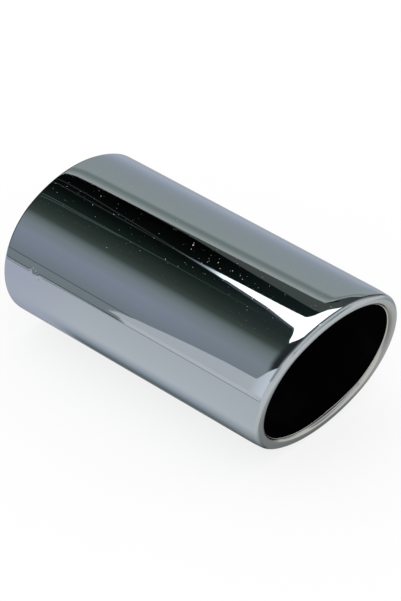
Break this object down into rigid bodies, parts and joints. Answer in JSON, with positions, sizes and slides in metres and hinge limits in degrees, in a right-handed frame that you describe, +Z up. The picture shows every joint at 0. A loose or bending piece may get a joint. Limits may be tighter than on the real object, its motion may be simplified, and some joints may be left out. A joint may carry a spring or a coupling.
{
  "type": "exhaust tip",
  "caption": "Oval polished exhaust tip: an open sheet tube with a square-cut rear inlet and a slant-cut outlet whose edge is rolled inwards.",
  "frame": {"origin": "centre of the rear opening, in the plane of the square rear cut", "axes": "+X along the tube towards the slanted outlet, +Y across the oval's width, +Z up across its height, as it is held on a level tailpipe; laid on a table it lies the same way, on its wide underside"},
  "size_m": [0.1416, 0.08, 0.065],
  "materials": {
    "polished_steel": "mirror polished outside, satin on the rolled lip, dark and dull inside"
  },
  "bodies": {
    "root": {"tip_shell": "polished_steel"}
  },
  "joints": []
}
